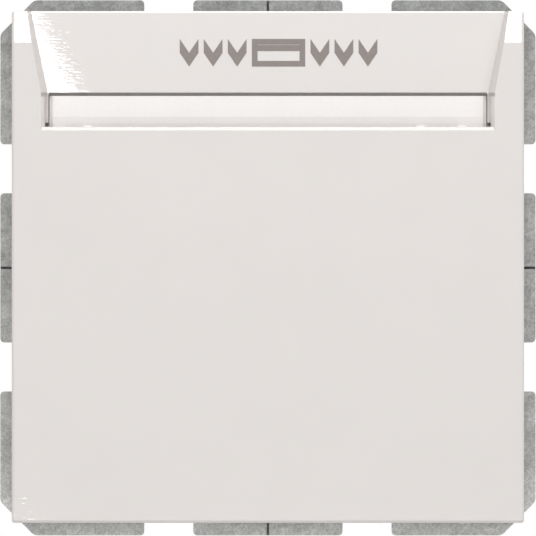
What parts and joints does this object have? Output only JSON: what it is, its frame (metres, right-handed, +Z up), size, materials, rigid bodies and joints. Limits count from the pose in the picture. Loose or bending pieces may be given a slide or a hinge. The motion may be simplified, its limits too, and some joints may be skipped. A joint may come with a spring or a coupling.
{
  "type": "hotel key card switch",
  "caption": "Flush wall switch worked by a key card: square white cover with funnelled card slot, steel support plate with spreading claws, and a rear insert with lever, microswitch and relay.",
  "frame": {"origin": "middle of the support plate's rear face, in the plane of the wall", "axes": "+X to the right, +Z up, the front faces -Y and the insert reaches along +Y into the wall box"},
  "size_m": [0.071, 0.041, 0.071],
  "materials": {
    "cover_white": "smooth polar white thermoplastic, glossy",
    "guide_white": "smooth bright white thermoplastic",
    "zinc_steel": "galvanised sheet steel with mottled zinc",
    "cap_grey": "fine textured light grey plastic",
    "housing_dark": "fine textured dark grey plastic",
    "lever_plastic": "moulded off-white slide plastic",
    "screw_steel": "zinc plated steel",
    "spring_steel": "bright spring steel",
    "brass_metal": "stamped brass, tin flashed",
    "copper_wire": "enamelled copper wire",
    "board_green": "solder-masked glass fibre board",
    "switch_black": "moulded black plastic",
    "plunger_red": "moulded coloured plastic",
    "clear_plastic": "clear moulded plastic",
    "relay_plastic": "moulded relay cover plastic",
    "relay_iron": "nickelled soft iron",
    "film_plastic": "moulded capacitor box",
    "can_metal": "sleeved aluminium can",
    "varistor_blue": "dipped epoxy",
    "fuse_brown": "moulded fuse body",
    "resistor_body": "lacquered resistor body"
  },
  "bodies": {
    "insert": {"cover_shell": "cover_white", "card_guide": "guide_white", "card_guide_screws": "screw_steel", "support_plate": "zinc_steel", "insert_cap": "cap_grey", "insert_screws": "screw_steel", "rear_housing": "housing_dark", "circuit_board": "board_green", "lever_pin": "spring_steel", "lever_spring": "spring_steel", "switch_case": "switch_black", "switch_lid": "switch_black", "switch_blade": "spring_steel", "switch_common_pin": "brass_metal", "switch_open_pin": "brass_metal", "switch_closed_pin": "brass_metal", "locator_lamp": "clear_plastic", "light_pipe": "clear_plastic", "relay_base": "relay_plastic", "relay_cover": "relay_plastic", "relay_bobbin": "lever_plastic", "relay_winding": "copper_wire", "relay_core": "relay_iron", "relay_yoke": "relay_iron", "relay_fixed_contact": "brass_metal", "film_capacitor": "film_plastic", "electrolytic_capacitor": "can_metal", "bridge_rectifier": "switch_black", "varistor": "varistor_blue", "fuse": "fuse_brown", "resistor_1": "resistor_body", "resistor_2": "resistor_body", "terminal_rail_1": "brass_metal", "terminal_rail_2": "brass_metal", "terminal_rail_3": "brass_metal", "terminal_rail_4": "brass_metal", "claw_pin_left": "spring_steel", "claw_pin_right": "spring_steel"},
    "lever": {"card_lever": "lever_plastic"},
    "plunger": {"switch_plunger": "plunger_red"},
    "armature": {"relay_armature": "relay_iron", "relay_moving_contact": "brass_metal"},
    "terminal_screw_1": {"terminal_screw_1": "screw_steel"},
    "terminal_cage_1": {"terminal_cage_1": "zinc_steel"},
    "terminal_screw_2": {"terminal_screw_2": "screw_steel"},
    "terminal_cage_2": {"terminal_cage_2": "zinc_steel"},
    "terminal_screw_3": {"terminal_screw_3": "screw_steel"},
    "terminal_cage_3": {"terminal_cage_3": "zinc_steel"},
    "terminal_screw_4": {"terminal_screw_4": "screw_steel"},
    "terminal_cage_4": {"terminal_cage_4": "zinc_steel"},
    "claw_screw_left": {"claw_screw_left": "screw_steel"},
    "claw_nut_left": {"claw_nut_left": "screw_steel"},
    "claw_left": {"claw_left": "zinc_steel"},
    "claw_screw_right": {"claw_screw_right": "screw_steel"},
    "claw_nut_right": {"claw_nut_right": "screw_steel"},
    "claw_right": {"claw_right": "zinc_steel"}
  },
  "joints": [
    {"name": "lever_tilt", "type": "hinge", "parent": "insert", "child": "lever", "pos_m": [0, -0.003, -0.0155], "axis": [1, 0, 0], "range_deg": [0, 20], "stiffness_Nm_per_rad": 0.008, "springref_deg": -17.19, "deforming": ["lever_spring"]},
    {"name": "plunger_press", "type": "slide", "parent": "insert", "child": "plunger", "axis": [0, 1, 0], "range_m": [0, 0.00092], "deforming": ["switch_blade"]},
    {"name": "armature_pull", "type": "hinge", "parent": "insert", "child": "armature", "pos_m": [0.00585, 0.02035, -0.00285], "axis": [0, 0, -1], "range_deg": [0, 3], "stiffness_Nm_per_rad": 0.004, "springref_deg": -11.46},
    {"name": "terminal_screw_1_turn", "type": "hinge", "parent": "insert", "child": "terminal_screw_1", "pos_m": [-0.0104, 0.02, -0.0195], "axis": [0, 0, 1], "range_deg": [0, 1440]},
    {"name": "terminal_cage_1_clamp", "type": "slide", "parent": "insert", "child": "terminal_cage_1", "axis": [0, 0, -1], "range_m": [0, 0.002]},
    {"name": "terminal_screw_2_turn", "type": "hinge", "parent": "insert", "child": "terminal_screw_2", "pos_m": [-0.0037, 0.02, -0.0195], "axis": [0, 0, 1], "range_deg": [0, 1440]},
    {"name": "terminal_cage_2_clamp", "type": "slide", "parent": "insert", "child": "terminal_cage_2", "axis": [0, 0, -1], "range_m": [0, 0.002]},
    {"name": "terminal_screw_3_turn", "type": "hinge", "parent": "insert", "child": "terminal_screw_3", "pos_m": [0.0037, 0.02, -0.0195], "axis": [0, 0, 1], "range_deg": [0, 1440]},
    {"name": "terminal_cage_3_clamp", "type": "slide", "parent": "insert", "child": "terminal_cage_3", "axis": [0, 0, -1], "range_m": [0, 0.002]},
    {"name": "terminal_screw_4_turn", "type": "hinge", "parent": "insert", "child": "terminal_screw_4", "pos_m": [0.0104, 0.02, -0.0195], "axis": [0, 0, 1], "range_deg": [0, 1440]},
    {"name": "terminal_cage_4_clamp", "type": "slide", "parent": "insert", "child": "terminal_cage_4", "axis": [0, 0, -1], "range_m": [0, 0.002]},
    {"name": "claw_screw_left_turn", "type": "hinge", "parent": "insert", "child": "claw_screw_left", "pos_m": [-0.0254, 0, 0], "axis": [0, 1, 0], "range_deg": [0, 1440]},
    {"name": "claw_nut_left_draw", "type": "slide", "parent": "insert", "child": "claw_nut_left", "axis": [0, -1, 0], "range_m": [0, 0.002]},
    {"name": "claw_left_spread", "type": "hinge", "parent": "insert", "child": "claw_left", "pos_m": [-0.0216, 0.0065, 0], "axis": [0, 0, 1], "range_deg": [0, 30]},
    {"name": "claw_screw_right_turn", "type": "hinge", "parent": "insert", "child": "claw_screw_right", "pos_m": [0.0254, 0, 0], "axis": [0, 1, 0], "range_deg": [0, 1440]},
    {"name": "claw_nut_right_draw", "type": "slide", "parent": "insert", "child": "claw_nut_right", "axis": [0, -1, 0], "range_m": [0, 0.002]},
    {"name": "claw_right_spread", "type": "hinge", "parent": "insert", "child": "claw_right", "pos_m": [0.0216, 0.0065, 0], "axis": [0, 0, -1], "range_deg": [0, 30]}
  ],
  "couplings": [
    {"joint": "lever_tilt", "follows": "plunger_press", "rad_per_m": 379.42},
    {"joint": "terminal_screw_1_turn", "follows": "terminal_cage_1_clamp", "rad_per_m": 12566},
    {"joint": "terminal_screw_2_turn", "follows": "terminal_cage_2_clamp", "rad_per_m": 12566},
    {"joint": "terminal_screw_3_turn", "follows": "terminal_cage_3_clamp", "rad_per_m": 12566},
    {"joint": "terminal_screw_4_turn", "follows": "terminal_cage_4_clamp", "rad_per_m": 12566},
    {"joint": "claw_screw_left_turn", "follows": "claw_nut_left_draw", "rad_per_m": 12566},
    {"joint": "claw_left_spread", "follows": "claw_nut_left_draw", "rad_per_m": 261.8},
    {"joint": "claw_screw_right_turn", "follows": "claw_nut_right_draw", "rad_per_m": 12566},
    {"joint": "claw_right_spread", "follows": "claw_nut_right_draw", "rad_per_m": 261.8}
  ]
}
